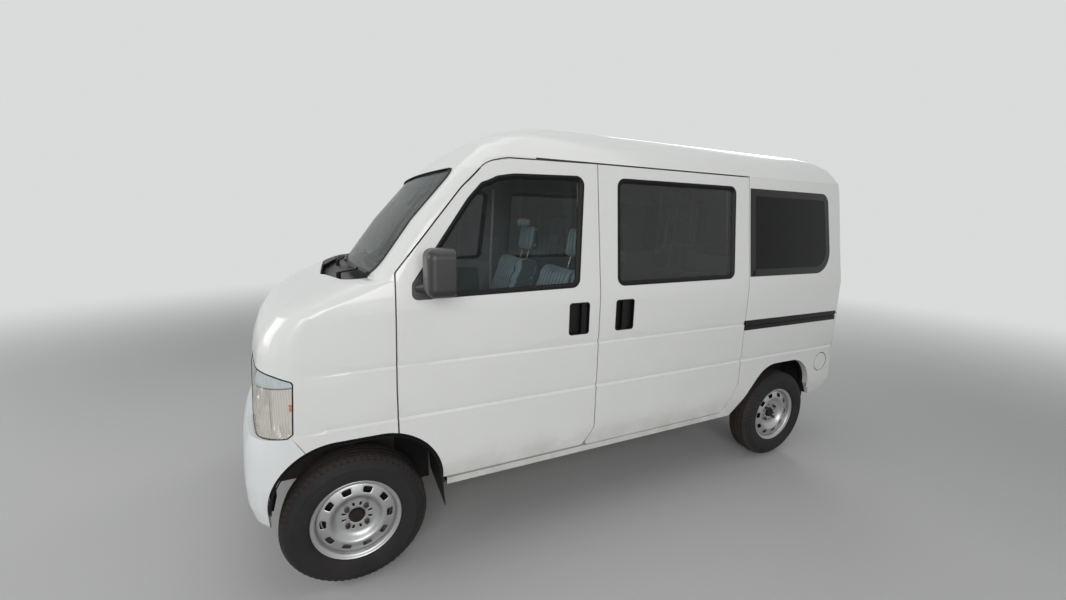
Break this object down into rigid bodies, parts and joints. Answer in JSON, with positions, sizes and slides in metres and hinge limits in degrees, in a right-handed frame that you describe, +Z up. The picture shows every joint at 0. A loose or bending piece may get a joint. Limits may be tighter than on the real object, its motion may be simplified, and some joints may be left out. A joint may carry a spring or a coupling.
{
  "type": "kei van",
  "caption": "White one-box kei van with front doors, sliding side doors, lifting tailgate, steered front wheels, service lid and fuel lid",
  "frame": {"origin": "On the ground, midway between front and rear bumper faces and on the middle plane", "axes": "+X forward, +Y to the van's left, +Z up"},
  "size_m": [3.395, 1.801, 1.8799],
  "materials": {
    "white_paint": "aged white gloss paint with road dirt low down",
    "white_plastic": "painted white plastic",
    "black_plastic": "matt black moulded plastic",
    "rubber": "black rubber",
    "tyre": "worn tyre rubber",
    "wheel_paint": "silver painted pressed steel",
    "glass": "clear safety glass",
    "lamp_lens": "fluted, slightly hazed lens",
    "red_lens": "red lens plastic",
    "grey_trim": "grained grey plastic",
    "seat_cloth": "striped woven cloth with darker sides",
    "bench_vinyl": "ribbed dark vinyl",
    "rail_steel": "dark painted guide rail",
    "under_metal": "black chassis paint with light rust",
    "engine_metal": "dull cast aluminium"
  },
  "bodies": {
    "body": {"cowl_grille": "black_plastic", "dashboard": "grey_trim", "door_seals": "rubber", "engine": "engine_metal", "exhaust": "under_metal", "floor_pan": "under_metal", "front_bumper": "white_plastic", "front_seats": "seat_cloth", "front_suspension": "under_metal", "fuel_tank": "under_metal", "headlamps": "lamp_lens", "nose_panel": "white_paint", "quarter_glass": "glass", "quarter_panels": "white_paint", "rear_axle": "under_metal", "rear_bench": "bench_vinyl", "rear_bumper": "white_plastic", "rear_frame": "white_paint", "roof_panel": "white_paint", "side_frames": "white_paint", "slide_rails": "rail_steel", "sliding_door_glass": "glass", "sliding_door_handles": "black_plastic", "sliding_door_left": "white_paint", "sliding_door_right": "white_paint", "steering_wheel": "black_plastic", "tail_lamps": "red_lens", "tailgate_seal": "rubber", "underframe": "under_metal", "windshield": "glass", "wipers": "black_plastic"},
    "front_door_left": {"front_door_left": "white_paint", "front_door_glass_left": "glass", "door_handle_left": "black_plastic", "mirror_left": "black_plastic"},
    "front_door_right": {"front_door_right": "white_paint", "front_door_glass_right": "glass", "door_handle_right": "black_plastic", "mirror_right": "black_plastic"},
    "tailgate": {"tailgate": "white_paint", "tailgate_glass": "glass"},
    "front_lid": {"front_lid": "white_paint"},
    "fuel_lid": {"fuel_lid": "white_paint"},
    "knuckle_left": {"knuckle_left": "under_metal"},
    "knuckle_right": {"knuckle_right": "under_metal"},
    "wheel_front_left": {"wheel_front_left": "wheel_paint", "tyre_front_left": "tyre"},
    "wheel_front_right": {"wheel_front_right": "wheel_paint", "tyre_front_right": "tyre"},
    "wheel_rear_left": {"wheel_rear_left": "wheel_paint", "tyre_rear_left": "tyre"},
    "wheel_rear_right": {"wheel_rear_right": "wheel_paint", "tyre_rear_right": "tyre"}
  },
  "joints": [
    {"name": "front_door_left_hinge", "type": "hinge", "parent": "body", "child": "front_door_left", "pos_m": [1.1025, 0.7385, 0.8], "axis": [0, 0, -1], "range_deg": [0, 65]},
    {"name": "front_door_right_hinge", "type": "hinge", "parent": "body", "child": "front_door_right", "pos_m": [1.1025, -0.7385, 0.8], "axis": [0, 0, 1], "range_deg": [0, 65]},
    {"name": "tailgate_hinge", "type": "hinge", "parent": "body", "child": "tailgate", "pos_m": [-1.583, 0, 1.768], "axis": [0, 1, 0], "range_deg": [0, 85]},
    {"name": "front_lid_hinge", "type": "hinge", "parent": "body", "child": "front_lid", "pos_m": [1.589, 0, 1.058], "axis": [0, -1, 0], "range_deg": [0, 60]},
    {"name": "fuel_lid_hinge", "type": "hinge", "parent": "body", "child": "fuel_lid", "pos_m": [-1.43375, 0.738, 0.585], "axis": [0, 0, -1], "range_deg": [0, 100]},
    {"name": "steering_left", "type": "hinge", "parent": "body", "child": "knuckle_left", "pos_m": [1.2675, 0.585, 0.19], "axis": [0, -0.1893, 0.9819], "range_deg": [-35, 35]},
    {"name": "steering_right", "type": "hinge", "parent": "body", "child": "knuckle_right", "pos_m": [1.2675, -0.585, 0.19], "axis": [0, 0.1893, 0.9819], "range_deg": [-35, 35]},
    {"name": "wheel_front_left_spin", "type": "hinge", "parent": "knuckle_left", "child": "wheel_front_left", "pos_m": [1.2675, 0.645, 0.271], "axis": [0, 1, 0], "continuous": true},
    {"name": "wheel_front_right_spin", "type": "hinge", "parent": "knuckle_right", "child": "wheel_front_right", "pos_m": [1.2675, -0.645, 0.271], "axis": [0, 1, 0], "continuous": true},
    {"name": "wheel_rear_left_spin", "type": "hinge", "parent": "body", "child": "wheel_rear_left", "pos_m": [-1.1525, 0.6525, 0.271], "axis": [0, 1, 0], "continuous": true},
    {"name": "wheel_rear_right_spin", "type": "hinge", "parent": "body", "child": "wheel_rear_right", "pos_m": [-1.1525, -0.6525, 0.271], "axis": [0, 1, 0], "continuous": true}
  ],
  "couplings": [
    {"joint": "steering_right", "follows": "steering_left", "ratio": 1}
  ]
}
